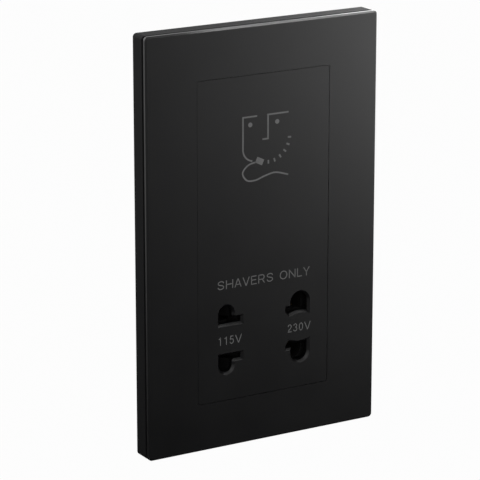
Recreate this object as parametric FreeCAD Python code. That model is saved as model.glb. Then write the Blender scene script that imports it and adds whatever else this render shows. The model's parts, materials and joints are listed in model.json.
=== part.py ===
import FreeCAD, Part

import math
import os

Vector = FreeCAD.Vector

# A dual-voltage shaver supply unit for a two-gang wall box.
# X is to the right seen from the front, +Y goes into the wall, +Z is up.
# The origin is on the wall plane, midway between the two fixing holes.

# Plate as seen from the front
PLATE_WIDTH = 90.0
PLATE_HEIGHT = 146.0
PLATE_CORNER = 1.3
PLATE_PROJECTION = 8.5
PANEL_THICKNESS = 1.5
PANEL_CHAMFER = 0.55
GROOVE_WIDTH = 0.8

# Base tray that stands against the wall
BASE_WALL = 1.6
BASE_FLOOR = 3.0
BASE_EDGE_ROUND = 0.4
REBATE_DEPTH = 1.0
PRY_NOTCH_WIDTH = 9.0
PRY_NOTCH_DEPTH = 1.0

# Fixing holes of a two-gang box, for M3.5 screws
FIXING_CENTRES = 120.6
FIXING_RADIUS = 2.0

# Snap hooks between the panel's skirt and the tray's wall
SKIRT_WALL = 1.4
HOOK_REACH = 0.5
HOOK_WIDTH = 8.0
HOOK_HEIGHT = 1.2
HOOK_LEVEL = 1.2
HOOK_SPREAD_Z = 44.0
HOOK_SPREAD_X = 22.0

# Flush centre panel
INSERT_WIDTH = 51.7
INSERT_HEIGHT = 112.5
INSERT_CORNER = 0.8
INSERT_EDGE = 0.1
INSERT_SINK = 0.05
FACE_WALL = 2.2
FLANGE_WIDTH = 68.0
FLANGE_HEIGHT = 112.2
FLANGE_THICKNESS = 2.2
FLANGE_CORNER = 2.0
RIM_WALL = 1.6
CAVITY_WIDTH = 48.2
CAVITY_HEIGHT = 108.0
RAIL_HEIGHT = 1.2
RAIL_LENGTH = 44.0

# Pin slots, measured from the middle of each outlet
OUTLET_Z = -34.65
LEFT_AXIS_X = -14.7
LEFT_HALF = 2.5
LEFT_INNER = 5.6
LEFT_PIN_CENTRE = 9.3
BLADE_REACH = 5.95
BLADE_TOP = 7.35
BLADE_FILLET = 1.0
RIGHT_AXIS_X = 14.7
RIGHT_HALF = 3.2
RIGHT_PIN_CENTRE = 9.1
RIGHT_INNER = 5.8
RIGHT_INNER_RADIUS = 11.5
NOTCH_REACH = 5.15
NOTCH_TOP = 7.3
NOTCH_SHOULDER = 6.2
NOTCH_TIP = 4.2
SLOT_LEAD = 0.8

# Sliding shutter behind the slots
SHUTTER_TRAVEL = 2.8
SHUTTER_GAP = 0.2
RAMP = 2.4
TONGUE_HALF_LENGTH = 19.0
TONGUE_HALF_HEIGHT = 3.6
GUIDE_BAR_HALF_LENGTH = 20.0
GUIDE_BAR_HEIGHT = 1.8
ARM_HALF_WIDTH = 4.0
ARM_TOP_Z = -11.5

# Centring springs
SPRING_RADIUS = 1.05
SPRING_WIRE = 0.175
SPRING_TURNS = 5
SPRING_END_GAP = 0.03

# Switch bridge and strips
BRIDGE_WIDTH = 3.0
BRIDGE_BOTTOM_Z = -19.4
BRIDGE_TOP_Z = -12.4
BRIDGE_THICKNESS = 0.6
BRIDGE_GAP = 0.05
STRIP_THICKNESS = 0.5
STRIP_HEIGHT = 2.2
STRIP_LENGTH = 22.0
SUPPLY_STRIP_Z = -18.2
LOAD_STRIP_Z = -13.6
LOAD_GAP = 4.2
LOAD_LINK_Z = -11.2
LOAD_LINK_HEIGHT = 1.0
TAB_WIDTH = 1.6

# Contact carrier, clips and retainer
CARRIER_WIDTH = 40.4
CARRIER_BOTTOM_Z = -49.6
CARRIER_TOP_Z = -10.0
CARRIER_CORNER = 1.0
CARRIER_BACK_Y = 11.0
CARRIER_LIP = 2.2
CARRIER_LIP_THICKNESS = 2.0
PASSAGE_GROW = 0.3
CHAMBER_GROW = 1.2
CHAMBER_FRONT_WALL = 2.0
CLIP_SHEET = 0.6
CLIP_WIDTH = 4.0
CLIP_FOOT_WIDTH = 11.0
CLIP_INNER = 5.1
CLIP_OUTER = 12.3
CLIP_GRIP = 3.6
CLIP_GRIP_DEPTH = 7.2
CLIP_MOUTH_DEPTH = 10.4
CLIP_MOUTH_FLARE = 1.1
CLIP_TAB_WIDTH = 3.0
CLIP_TAB_LENGTH = 4.4
RETAINER_THICKNESS = 1.6
RETAINER_POST_RADIUS = 1.6
RETAINER_POST_X = 18.0
RETAINER_POST_LOW_Z = -47.0
RETAINER_POST_HIGH_Z = -23.0
PRESS_GAP = 0.05
SLOT_GAP = 0.15

# Rear housing, with a hump over the coil
HOUSING_CORNER = 4.0
HOUSING_WALL = 2.0
HOUSING_DEPTH = 22.0
HOUSING_EDGE_ROUND = 1.0
HUMP_ROOM = 1.2
COIL_WINDOW_ROOM = 1.0

# Screws that hold housing, tray and insert together
SCREW_EDGE = 5.4
SCREW_LIFT = 1.0
SCREW_RADIUS = 1.4
SCREW_TIP_WALL = 0.6
SCREW_HEAD_RADIUS = 2.6
SCREW_HEAD_HEIGHT = 1.8
SCREW_DRIVE = 1.0
BOSS_RADIUS = 4.2
BOSS_GAP = 0.6
INSERT_BOSS_RADIUS = 3.0
SCREW_CLEARANCE = 0.3
THREAD_GAP = 0.05

# Terminals on the housing's back
TERMINAL_PITCH = 10.0
TERMINAL_BLOCK_WIDTH = 33.0
TERMINAL_BLOCK_BOTTOM_Z = -47.0
TERMINAL_BLOCK_TOP_Z = -27.0
TERMINAL_BLOCK_DEPTH = 10.0
TERMINAL_BLOCK_ROUND = 0.8
PILLAR_WIDTH = 7.0
PILLAR_BOTTOM_Z = -42.0
PILLAR_TOP_Z = -32.0
PILLAR_DEPTH = 7.0
PILLAR_GAP = 0.1
PILLAR_FLOOR = 1.0
WIRE_BORE_RADIUS = 1.8
WIRE_BORE_DEPTH = 8.0
WIRE_FUNNEL_RADIUS = 1.95
TERMINAL_SCREW_RADIUS = 1.4
TERMINAL_HEAD_RADIUS = 2.3
TERMINAL_HEAD_HEIGHT = 1.8
TERMINAL_SLOT = 0.7
TAG_WIDTH = 2.4
TAG_THICKNESS = 0.8
TAG_LENGTH = 1.2

# Transformer
CORE_WIDTH = 54.0
CORE_HEIGHT = 45.0
CORE_STACK = 15.0
CORE_LIFT = 8.0
CORE_LIMB = 9.0
CORE_EDGE = 0.4
BAND_THICKNESS = 0.8
BOBBIN_WALL = 1.0
BOBBIN_GAP = 0.2
COIL_OVERHANG = 8.0
BOBBIN_CORNER = 3.0
WINDING_INSET = 0.5
WINDING_CORNER = 4.0
PIN_RADIUS = 0.4
PIN_LENGTH = 3.7
PIN_Y = 2.0
PRIMARY_PIN_X = 8.0
POST_RADIUS = 3.0

# Thermal cut-out under the core
CUTOUT_LENGTH = 16.0
CUTOUT_WIDTH = 6.5
CUTOUT_HEIGHT = 5.0
CUTOUT_X = 12.0
CUTOUT_GAP = 0.25
CUTOUT_ROUND = 1.0

# Leads
LEAD_RADIUS = 0.7
LEAD_BEND = 1.6
LEAD_ROOM = 0.7
LEAD_CHANNEL = 3.2
LEAD_LOOP = 4.0

# Clearances of the outer pieces
WINDOW_GAP = 0.06
SNAP_GAP = 0.2
RIM_GAP = 0.2
PANEL_GAP = 0.3

# Planes worked out from the sizes above, front to back
FACE_Y = -PLATE_PROJECTION
PANEL_BACK_Y = FACE_Y + PANEL_THICKNESS
BASE_FRONT_Y = PANEL_BACK_Y + GROOVE_WIDTH
FLOOR_Y = -BASE_FLOOR
REBATE_Y = -REBATE_DEPTH
INSERT_FACE_Y = FACE_Y + INSERT_SINK
FLANGE_Y = PANEL_BACK_Y + PANEL_GAP
CAVITY_Y = FACE_Y + FACE_WALL
SHUTTER_FRONT_Y = CAVITY_Y + SHUTTER_GAP
SHUTTER_BACK_Y = FLOOR_Y - SHUTTER_GAP
BRIDGE_BACK_Y = FLOOR_Y - BRIDGE_GAP
BRIDGE_FRONT_Y = BRIDGE_BACK_Y - BRIDGE_THICKNESS
CHAMBER_Y = FLOOR_Y + CHAMBER_FRONT_WALL
CLIP_FOOT_Y = CARRIER_BACK_Y + CLIP_SHEET
RETAINER_BACK_Y = CLIP_FOOT_Y + RETAINER_THICKNESS
CLIP_TAB_Y = CLIP_FOOT_Y + CLIP_TAB_LENGTH
STRIP_TAB_Y = RETAINER_BACK_Y + PANEL_GAP
BACK_INNER_Y = HOUSING_DEPTH - HOUSING_WALL
TERMINAL_BACK_Y = HOUSING_DEPTH + TERMINAL_BLOCK_DEPTH
PILLAR_FRONT_Y = HOUSING_DEPTH + PILLAR_FLOOR
PILLAR_BACK_Y = PILLAR_FRONT_Y + PILLAR_DEPTH
PILLAR_Z = (PILLAR_BOTTOM_Z + PILLAR_TOP_Z) / 2
TAG_END_Y = BACK_INNER_Y - TAG_LENGTH
TAB_X = TERMINAL_PITCH
SCREW_TIP_Y = FLANGE_Y + SCREW_TIP_WALL
CORE_BACK_Y = BACK_INNER_Y
CORE_FRONT_Y = CORE_BACK_Y - CORE_STACK
CORE_Y = (CORE_FRONT_Y + CORE_BACK_Y) / 2
CORE_BOTTOM_Z = CARRIER_TOP_Z + CORE_LIFT
CORE_TOP_Z = CORE_BOTTOM_Z + CORE_HEIGHT
CORE_Z = (CORE_BOTTOM_Z + CORE_TOP_Z) / 2
BOBBIN_FLANGE_HALF_WIDTH = CORE_WIDTH / 2 - CORE_LIMB - BOBBIN_GAP
BOBBIN_FLANGE_HALF_DEPTH = CORE_STACK / 2 + COIL_OVERHANG
BOBBIN_HALF_HEIGHT = CORE_HEIGHT / 2 - CORE_LIMB - BOBBIN_GAP
COIL_BACK_Y = CORE_Y + BOBBIN_FLANGE_HALF_DEPTH
CUTOUT_Y = BACK_INNER_Y - CUTOUT_GAP - CUTOUT_WIDTH / 2
CUTOUT_Z = CORE_BOTTOM_Z - CUTOUT_HEIGHT / 2
LOW_PIN_Z = CORE_Z - BOBBIN_HALF_HEIGHT - PIN_LENGTH
HIGH_PIN_Z = CORE_Z + BOBBIN_HALF_HEIGHT + PIN_LENGTH
CLIP_MIDDLE = (CLIP_INNER + CLIP_OUTER) / 2
GUIDE_INNER = max(LEFT_PIN_CENTRE + LEFT_HALF, RIGHT_PIN_CENTRE + RIGHT_HALF) + 2 * SHUTTER_GAP
GUIDE_OUTER = GUIDE_INNER + GUIDE_BAR_HEIGHT
TERMINAL_XS = [-TERMINAL_PITCH, 0.0, TERMINAL_PITCH]
SCREW_HIGH_Z = CORE_TOP_Z + BAND_THICKNESS + BOSS_GAP + BOSS_RADIUS
SCREW_LOW_Z = CARRIER_BOTTOM_Z + SCREW_LIFT
HOUSING_TOP_Z = SCREW_HIGH_Z + SCREW_EDGE
HOUSING_BOTTOM_Z = SCREW_LOW_Z - SCREW_EDGE
HOUSING_WIDTH = CORE_WIDTH + 2 * (BAND_THICKNESS + LEAD_CHANNEL + HOUSING_WALL)
SCREW_X = HOUSING_WIDTH / 2 - SCREW_EDGE
SCREW_PLACES = [(x, z) for x in (-SCREW_X, SCREW_X) for z in (SCREW_LOW_Z, SCREW_HIGH_Z)]
POST_X = (CORE_WIDTH - CORE_LIMB) / 2
POST_SPREAD_Z = (CORE_HEIGHT - CORE_LIMB) / 2
POST_TOP_Z = CORE_Z + POST_SPREAD_Z + POST_RADIUS
LEAD_NEAR_Y = (STRIP_TAB_Y + TAG_END_Y) / 2
LEAD_DROP_Y = BACK_INNER_Y - LEAD_ROOM - LEAD_RADIUS
LEAD_UNDER_CORE_Z = (CORE_BOTTOM_Z - CUTOUT_HEIGHT + CARRIER_TOP_Z) / 2
LEAD_NEUTRAL_Z = (LOAD_STRIP_Z + RETAINER_POST_HIGH_Z + RETAINER_POST_RADIUS) / 2
LEAD_SWITCHED_X = CUTOUT_X + CUTOUT_LENGTH / 2 + LEAD_LOOP
LEAD_SIDE_X = (CORE_WIDTH + LEAD_CHANNEL) / 2 + BAND_THICKNESS
LEAD_TOP_Z = (POST_TOP_Z + SCREW_HIGH_Z - BOSS_RADIUS) / 2
POST_PLACES = [(x, CORE_Z + z) for x in (-POST_X, POST_X) for z in (-POST_SPREAD_Z, POST_SPREAD_Z)]


# Small makers that the pieces share

def block(x0, x1, y0, y1, z0, z1):
    return Part.makeBox(x1 - x0, y1 - y0, z1 - z0, Vector(x0, y0, z0))


def rod(radius, x, z, y0, y1):
    """A cylinder along Y."""
    return Part.makeCylinder(radius, y1 - y0, Vector(x, y0, z), Vector(0, 1, 0))


def face_through(start, steps, place):
    """A closed face: each step is a point, or a pair of points for an arc through the first."""
    edges = []
    here = start
    for step in list(steps) + [start]:
        if isinstance(step[0], tuple):
            middle, end = step
            edges.append(Part.Arc(place(here), place(middle), place(end)).toShape())
        else:
            end = step
            if math.dist(here, end) > 1e-6:
                edges.append(Part.makeLine(place(here), place(end)))
        here = end
    return Part.Face(Part.Wire(edges))


def front_prism(start, steps, y0, y1):
    """An outline drawn on the front, in X and Z, carried from y0 to y1."""
    face = face_through(start, steps, lambda p: Vector(p[0], y0, p[1]))
    return face.extrude(Vector(0, y1 - y0, 0))


def side_prism(start, steps, x0, x1):
    """An outline drawn on the side, in Y and Z, carried from x0 to x1."""
    face = face_through(start, steps, lambda p: Vector(x0, p[0], p[1]))
    return face.extrude(Vector(x1 - x0, 0, 0))


def slab(width, height, corner, y0, y1, z=0.0):
    """A plate with round corners, seen from the front."""
    x = width / 2
    top = z + height / 2
    bottom = z - height / 2
    near = corner * (1 - math.sqrt(0.5))
    steps = [
        (x - corner, bottom),
        ((x - near, bottom + near), (x, bottom + corner)),
        (x, top - corner),
        ((x - near, top - near), (x - corner, top)),
        (-x + corner, top),
        ((-x + near, top - near), (-x, top - corner)),
        (-x, bottom + corner),
        ((-x + near, bottom + near), (-x + corner, bottom)),
    ]
    return front_prism((-x + corner, bottom), steps, y0, y1)


def edges_on(shape, y, keep=None):
    """The edges that lie in the plane at y and pass the test."""
    found = []
    for edge in shape.Edges:
        box = edge.BoundBox
        if abs(box.YMin - y) < 1e-6 and abs(box.YMax - y) < 1e-6 and (keep is None or keep(box)):
            found.append(edge)
    return found


def lead_along(points, radius, bend):
    """A round lead through the points, its corners turned with tangent arcs."""
    places = [Vector(*p) for p in points]
    edges = []
    here = places[0]
    for before, corner, after in zip(places, places[1:], places[2:]):
        back = (before - corner).normalize()
        on = (after - corner).normalize()
        half = back.getAngle(on) / 2
        reach = bend / math.tan(half)
        inward = (back + on).normalize()
        centre = corner + inward * (bend / math.sin(half))
        start = corner + back * reach
        end = corner + on * reach
        if (start - here).Length > 1e-6:
            edges.append(Part.makeLine(here, start))
        edges.append(Part.Arc(start, centre - inward * bend, end).toShape())
        here = end
    edges.append(Part.makeLine(here, places[-1]))
    first = (places[1] - places[0]).normalize()
    ring = Part.Wire(Part.makeCircle(radius, places[0], first))
    return Part.Wire(edges).makePipeShell([ring], True, False)


# Pin slots

def left_slot(half, grow, y0, y1):
    """A round-pin slot with a flat-blade slot to its right. The lower one is the mirror of the upper."""
    knee = BLADE_FILLET * (1 - math.sqrt(0.5))

    def at(u, v):
        return (LEFT_AXIS_X + u, OUTLET_Z + half * v)

    steps = [
        at(BLADE_REACH, LEFT_INNER),
        at(BLADE_REACH, BLADE_TOP),
        at(LEFT_HALF + BLADE_FILLET, BLADE_TOP),
        (at(LEFT_HALF + knee, BLADE_TOP + knee), at(LEFT_HALF, BLADE_TOP + BLADE_FILLET)),
        at(LEFT_HALF, LEFT_PIN_CENTRE),
        (at(0, LEFT_PIN_CENTRE + LEFT_HALF), at(-LEFT_HALF, LEFT_PIN_CENTRE)),
    ]
    return grown_prism(at(-LEFT_HALF, LEFT_INNER), steps, grow, y0, y1)


def right_slot(half, grow, y0, y1):
    """A wider round-pin slot with an arched inner edge and an angled-blade notch to its left."""
    def at(u, v):
        return (RIGHT_AXIS_X + u, OUTLET_Z + half * v)

    def arch(u):
        drop = RIGHT_INNER_RADIUS - math.sqrt(RIGHT_INNER_RADIUS ** 2 - u ** 2)
        return at(u, RIGHT_INNER - drop)

    steps = [
        (arch(0), arch(RIGHT_HALF)),
        at(RIGHT_HALF, RIGHT_PIN_CENTRE),
        (at(0, RIGHT_PIN_CENTRE + RIGHT_HALF), at(-RIGHT_HALF, RIGHT_PIN_CENTRE)),
        at(-RIGHT_HALF, NOTCH_TOP),
        at(-NOTCH_REACH, NOTCH_TOP),
        at(-NOTCH_REACH, NOTCH_SHOULDER),
    ]
    return grown_prism(arch(-NOTCH_TIP), steps, grow, y0, y1)


def grown_prism(start, steps, grow, y0, y1):
    """An outline on the front, grown evenly all round, carried from y0 to y1."""
    face = face_through(start, steps, lambda p: Vector(p[0], y0, p[1]))
    if grow:
        face = face.makeOffset2D(grow, 2)
    return face.extrude(Vector(0, y1 - y0, 0))


def all_slots(grow, y0, y1):
    return [slot(half, grow, y0, y1) for slot in (left_slot, right_slot) for half in (1, -1)]


# Pieces of the front

def hook_places():
    """Middle and outward direction of each snap hook, on the skirt's outer faces."""
    side = PLATE_WIDTH / 2 - BASE_WALL - SNAP_GAP
    end = PLATE_HEIGHT / 2 - BASE_WALL - SNAP_GAP
    sides = [(s * side, z, s, 0) for s in (-1, 1) for z in (-HOOK_SPREAD_Z, HOOK_SPREAD_Z)]
    ends = [(x, s * end, 0, s) for s in (-1, 1) for x in (-HOOK_SPREAD_X, HOOK_SPREAD_X)]
    return sides + ends


def hook(x, z, across, up, room):
    """A wedge that stands out of the skirt, sloped in front and behind; room grows it to a recess."""
    reach = HOOK_REACH + room
    half = HOOK_WIDTH / 2 + room
    low = BASE_FRONT_Y + HOOK_LEVEL - room
    high = BASE_FRONT_Y + HOOK_LEVEL + HOOK_HEIGHT + room
    middle = (low + high) / 2
    wedge = face_through(
        (0, low),
        [(reach, middle), (0, high)],
        lambda p: Vector(p[0], p[1], -half),
    ).extrude(Vector(0, 0, 2 * half))
    turn = 0 if across > 0 else 180 if across < 0 else -90 if up > 0 else 90
    wedge.rotate(Vector(0, 0, 0), Vector(0, 1, 0), turn)
    wedge.translate(Vector(x, 0, z))
    return wedge


def cover_plate():
    """Thin panel with a bevelled rim and a window, and a skirt with snap hooks behind it."""
    panel = slab(PLATE_WIDTH, PLATE_HEIGHT, PLATE_CORNER, FACE_Y, PANEL_BACK_Y)
    panel = panel.makeChamfer(PANEL_CHAMFER, edges_on(panel, FACE_Y))
    inside = 2 * (BASE_WALL + SNAP_GAP)
    skirt = slab(PLATE_WIDTH - inside, PLATE_HEIGHT - inside, PLATE_CORNER, PANEL_BACK_Y, FLOOR_Y)
    inside += 2 * SKIRT_WALL
    skirt = skirt.cut(slab(PLATE_WIDTH - inside, PLATE_HEIGHT - inside, PLATE_CORNER, PANEL_BACK_Y, FLOOR_Y))
    window = slab(
        INSERT_WIDTH + 2 * WINDOW_GAP,
        INSERT_HEIGHT + 2 * WINDOW_GAP,
        INSERT_CORNER + WINDOW_GAP,
        FACE_Y,
        PANEL_BACK_Y,
    )
    hooks = [hook(*place, 0.0) for place in hook_places()]
    return panel.cut(window).fuse([skirt] + hooks).removeSplitter()


def base_frame():
    """Tray against the wall: floor, rim wall, fixing holes and the posts that carry the core."""
    tray = slab(PLATE_WIDTH, PLATE_HEIGHT, PLATE_CORNER, BASE_FRONT_Y, 0.0)
    tray = tray.makeFillet(BASE_EDGE_ROUND, edges_on(tray, BASE_FRONT_Y))
    inside = 2 * BASE_WALL
    hollow = slab(PLATE_WIDTH - inside, PLATE_HEIGHT - inside, PLATE_CORNER, BASE_FRONT_Y, FLOOR_Y)
    rebate = housing_slab(RIM_GAP, REBATE_Y, 0.0)
    window = slab(
        CARRIER_WIDTH + 2 * RIM_GAP,
        CARRIER_TOP_Z - CARRIER_BOTTOM_Z + 2 * RIM_GAP,
        CARRIER_CORNER + RIM_GAP,
        FLOOR_Y,
        REBATE_Y,
        (CARRIER_TOP_Z + CARRIER_BOTTOM_Z) / 2,
    )
    coil_window = coil_slab(COIL_WINDOW_ROOM, FLOOR_Y, REBATE_Y)
    fixings = [rod(FIXING_RADIUS, 0.0, s * FIXING_CENTRES / 2, FLOOR_Y, 0.0) for s in (-1, 1)]
    screws = [rod(SCREW_RADIUS + SCREW_CLEARANCE, x, z, FLOOR_Y, REBATE_Y) for x, z in SCREW_PLACES]
    recesses = [hook(*place, SNAP_GAP / 2) for place in hook_places()]
    notch = block(
        -PRY_NOTCH_WIDTH / 2,
        PRY_NOTCH_WIDTH / 2,
        BASE_FRONT_Y,
        BASE_FRONT_Y + PRY_NOTCH_DEPTH,
        -PLATE_HEIGHT / 2,
        -PLATE_HEIGHT / 2 + BASE_WALL,
    )
    posts = [rod(POST_RADIUS, x, z, REBATE_Y, CORE_FRONT_Y) for x, z in POST_PLACES]
    tray = tray.cut([hollow, rebate, window, coil_window, notch] + fixings + screws + recesses)
    return tray.fuse(posts).removeSplitter()


def socket_insert():
    """Flush centre panel: slots with a lead-in, a flange behind the cover, bosses and shutter rails."""
    panel = slab(INSERT_WIDTH, INSERT_HEIGHT, INSERT_CORNER, INSERT_FACE_Y, CAVITY_Y)
    panel = panel.makeChamfer(INSERT_EDGE, edges_on(panel, INSERT_FACE_Y))
    flange = slab(FLANGE_WIDTH, FLANGE_HEIGHT, FLANGE_CORNER, FLANGE_Y, FLOOR_Y)
    cavity = slab(CAVITY_WIDTH, CAVITY_HEIGHT, INSERT_CORNER, CAVITY_Y, FLOOR_Y)
    inner = CAVITY_WIDTH / 2 + RIM_WALL
    outer = FLANGE_WIDTH / 2 - RIM_WALL
    tall = CAVITY_HEIGHT / 2
    pocket_y = FLANGE_Y + FLANGE_THICKNESS
    sides = ((-outer, -inner), (inner, outer))
    pockets = [block(x0, x1, pocket_y, FLOOR_Y, -tall, tall) for x0, x1 in sides]
    bosses = [rod(INSERT_BOSS_RADIUS, x, z, pocket_y, FLOOR_Y) for x, z in SCREW_PLACES]
    bores = [rod(SCREW_RADIUS + THREAD_GAP, x, z, SCREW_TIP_Y - SNAP_GAP, FLOOR_Y) for x, z in SCREW_PLACES]
    body = panel.fuse(flange).cut([cavity] + pockets).fuse(bosses + shutter_rails()).cut(bores)
    body = body.cut(all_slots(0.0, INSERT_FACE_Y, CAVITY_Y)).removeSplitter()
    rim_x = INSERT_WIDTH / 2 - 2 * INSERT_EDGE
    rim_z = INSERT_HEIGHT / 2 - 2 * INSERT_EDGE

    def round_a_slot(box):
        return max(box.XMax, -box.XMin) < rim_x and max(box.ZMax, -box.ZMin) < rim_z

    return body.makeChamfer(SLOT_LEAD, edges_on(body, INSERT_FACE_Y, round_a_slot))


def shutter_rails():
    """Two rails above and below the shutter; the upper one leaves room for the switch arm."""
    low = GUIDE_OUTER + SHUTTER_GAP
    high = low + RAIL_HEIGHT
    half = RAIL_LENGTH / 2
    rails = [block(-half, half, CAVITY_Y, SHUTTER_BACK_Y, OUTLET_Z - high, OUTLET_Z - low)]
    clear = ARM_HALF_WIDTH + SHUTTER_TRAVEL + SHUTTER_GAP
    for x0, x1 in ((-half, -clear), (clear, half)):
        rails.append(block(x0, x1, CAVITY_Y, SHUTTER_BACK_Y, OUTLET_Z + low, OUTLET_Z + high))
    return rails


# Shutter and switch

def shutter_edges():
    """Edges of the plate that face the pins: place, side of the ramp, and height from and to.

    At rest each edge is one travel inside its slot, so that moving the plate by its travel clears it.
    """
    shift = SHUTTER_TRAVEL - SHUTTER_GAP
    blade = (LEFT_AXIS_X + BLADE_REACH - shift, 1, TONGUE_HALF_HEIGHT, BLADE_TOP + SHUTTER_GAP)
    left_pin = (LEFT_AXIS_X + LEFT_HALF - shift, 1, BLADE_TOP + SHUTTER_GAP, GUIDE_INNER)
    notch = (RIGHT_AXIS_X - NOTCH_REACH + shift, -1, TONGUE_HALF_HEIGHT, NOTCH_TOP + SHUTTER_GAP)
    right_pin = (RIGHT_AXIS_X - RIGHT_HALF + shift, -1, NOTCH_TOP + SHUTTER_GAP, GUIDE_INNER)
    return blade, left_pin, notch, right_pin


def shutter_ramp(x, side, low, high, half):
    """A wedge taken off the plate's front, so that a pin pushes the edge aside."""
    corners = [(x, SHUTTER_FRONT_Y), (x + side * RAMP, SHUTTER_FRONT_Y), (x, SHUTTER_FRONT_Y + RAMP)]
    base = OUTLET_Z + min(half * low, half * high)
    wedge = face_through(corners[0], corners[1:], lambda p: Vector(p[0], p[1], base))
    return wedge.extrude(Vector(0, 0, high - low))


def shutter_plate():
    """Stepped plate: a tongue for the springs, two guide bars, a ramped edge at each slot, and the arm."""
    blade, left_pin, notch, right_pin = shutter_edges()
    arm_top = ARM_TOP_Z - OUTLET_Z
    upper = [
        (-TONGUE_HALF_LENGTH, TONGUE_HALF_HEIGHT),
        (blade[0], TONGUE_HALF_HEIGHT),
        (blade[0], blade[3]),
        (left_pin[0], blade[3]),
        (left_pin[0], GUIDE_INNER),
        (-GUIDE_BAR_HALF_LENGTH, GUIDE_INNER),
        (-GUIDE_BAR_HALF_LENGTH, GUIDE_OUTER),
        (GUIDE_BAR_HALF_LENGTH, GUIDE_OUTER),
        (GUIDE_BAR_HALF_LENGTH, GUIDE_INNER),
        (right_pin[0], GUIDE_INNER),
        (right_pin[0], notch[3]),
        (notch[0], notch[3]),
        (notch[0], TONGUE_HALF_HEIGHT),
        (TONGUE_HALF_LENGTH, TONGUE_HALF_HEIGHT),
    ]
    arm = [
        (-ARM_HALF_WIDTH, GUIDE_OUTER),
        (-ARM_HALF_WIDTH, arm_top),
        (ARM_HALF_WIDTH, arm_top),
        (ARM_HALF_WIDTH, GUIDE_OUTER),
    ]
    lower = [(x, -v) for x, v in reversed(upper)]
    outline = [(x, OUTLET_Z + v) for x, v in upper[:7] + arm + upper[7:] + lower]
    plate = front_prism(outline[0], outline[1:], SHUTTER_FRONT_Y, SHUTTER_BACK_Y)
    ramps = [shutter_ramp(*edge, half) for edge in shutter_edges() for half in (1, -1)]
    seat = block(
        -BRIDGE_WIDTH / 2 - PRESS_GAP,
        BRIDGE_WIDTH / 2 + PRESS_GAP,
        BRIDGE_FRONT_Y,
        SHUTTER_BACK_Y,
        BRIDGE_BOTTOM_Z - PRESS_GAP,
        BRIDGE_TOP_Z + PRESS_GAP,
    )
    return plate.cut(ramps + [seat])


def shutter_spring(side):
    """A centring spring between the end of the tongue and the cavity's wall."""
    inner = TONGUE_HALF_LENGTH + SPRING_WIRE + SPRING_END_GAP
    outer = CAVITY_WIDTH / 2 - SPRING_WIRE - SPRING_END_GAP
    length = outer - inner
    coil = Part.makeHelix(length / SPRING_TURNS, length, SPRING_RADIUS)
    ring = Part.Wire(Part.makeCircle(SPRING_WIRE, Vector(SPRING_RADIUS, 0, 0), Vector(0, 1, 0)))
    spring = Part.Wire(coil.Edges).makePipeShell([ring], True, True)
    spring.rotate(Vector(0, 0, 0), Vector(0, 1, 0), side * 90)
    middle_y = (SHUTTER_FRONT_Y + SHUTTER_BACK_Y) / 2
    spring.translate(Vector(side * inner, middle_y, OUTLET_Z))
    return spring


def switch_bridge():
    """Bridge pressed into the arm; its two ends are turned up as runners."""
    half = BRIDGE_WIDTH / 2
    bridge = block(-half, half, BRIDGE_FRONT_Y, BRIDGE_BACK_Y, BRIDGE_BOTTOM_Z, BRIDGE_TOP_Z)
    ends = [e for e in bridge.Edges if abs(e.BoundBox.XLength) < 1e-6 and e.BoundBox.ZLength > 1
            and abs(e.BoundBox.YMin - BRIDGE_BACK_Y) < 1e-6]
    return bridge.makeFillet(BRIDGE_THICKNESS / 2, ends)


def strip_tab(x, z, room):
    """The flat tail of a switch strip, through the carrier and the retainer."""
    wide = TAB_WIDTH / 2 + room
    thick = STRIP_THICKNESS / 2 + room
    return block(x - wide, x + wide, FLOOR_Y, STRIP_TAB_Y, z - thick, z + thick)


def supply_strip(room):
    half = STRIP_LENGTH / 2 + room
    tall = STRIP_HEIGHT / 2 + room
    back = FLOOR_Y + STRIP_THICKNESS
    rail = block(-half, half, FLOOR_Y, back, SUPPLY_STRIP_Z - tall, SUPPLY_STRIP_Z + tall)
    return rail.fuse(strip_tab(-TAB_X, SUPPLY_STRIP_Z, room)).removeSplitter()


def load_strip(room):
    """Two pads with a gap between them, joined by a link over the top."""
    half = STRIP_LENGTH / 2 + room
    gap = LOAD_GAP / 2 - room
    low = LOAD_STRIP_Z - STRIP_HEIGHT / 2 - room
    link = LOAD_LINK_Z - LOAD_LINK_HEIGHT / 2 - room
    top = LOAD_LINK_Z + LOAD_LINK_HEIGHT / 2 + room
    outline = [(-half, low), (-gap, low), (-gap, link), (gap, link), (gap, low), (half, low), (half, top),
               (-half, top)]
    pads = front_prism(outline[0], outline[1:], FLOOR_Y, FLOOR_Y + STRIP_THICKNESS)
    return pads.fuse(strip_tab(TAB_X, LOAD_STRIP_Z, room)).removeSplitter()


# Contact carrier, clips and retainer

def carrier_slab(grow, y0, y1):
    """The carrier's own outline, or one grown from it."""
    height = CARRIER_TOP_Z - CARRIER_BOTTOM_Z
    middle = (CARRIER_TOP_Z + CARRIER_BOTTOM_Z) / 2
    return slab(CARRIER_WIDTH + 2 * grow, height + 2 * grow, CARRIER_CORNER + grow, y0, y1, middle)


def contact_carrier():
    """Block behind the shutter: narrow passages, a chamber behind each, and beds for the inlaid strips."""
    body = carrier_slab(0.0, FLOOR_Y, CARRIER_BACK_Y)
    lip = carrier_slab(CARRIER_LIP, REBATE_Y, REBATE_Y + CARRIER_LIP_THICKNESS)
    passages = all_slots(PASSAGE_GROW, FLOOR_Y, CHAMBER_Y)
    chambers = all_slots(CHAMBER_GROW, CHAMBER_Y, CARRIER_BACK_Y)
    beds = [supply_strip(PRESS_GAP), load_strip(PRESS_GAP)]
    return body.fuse(lip).cut(passages + chambers + beds).removeSplitter()


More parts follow.
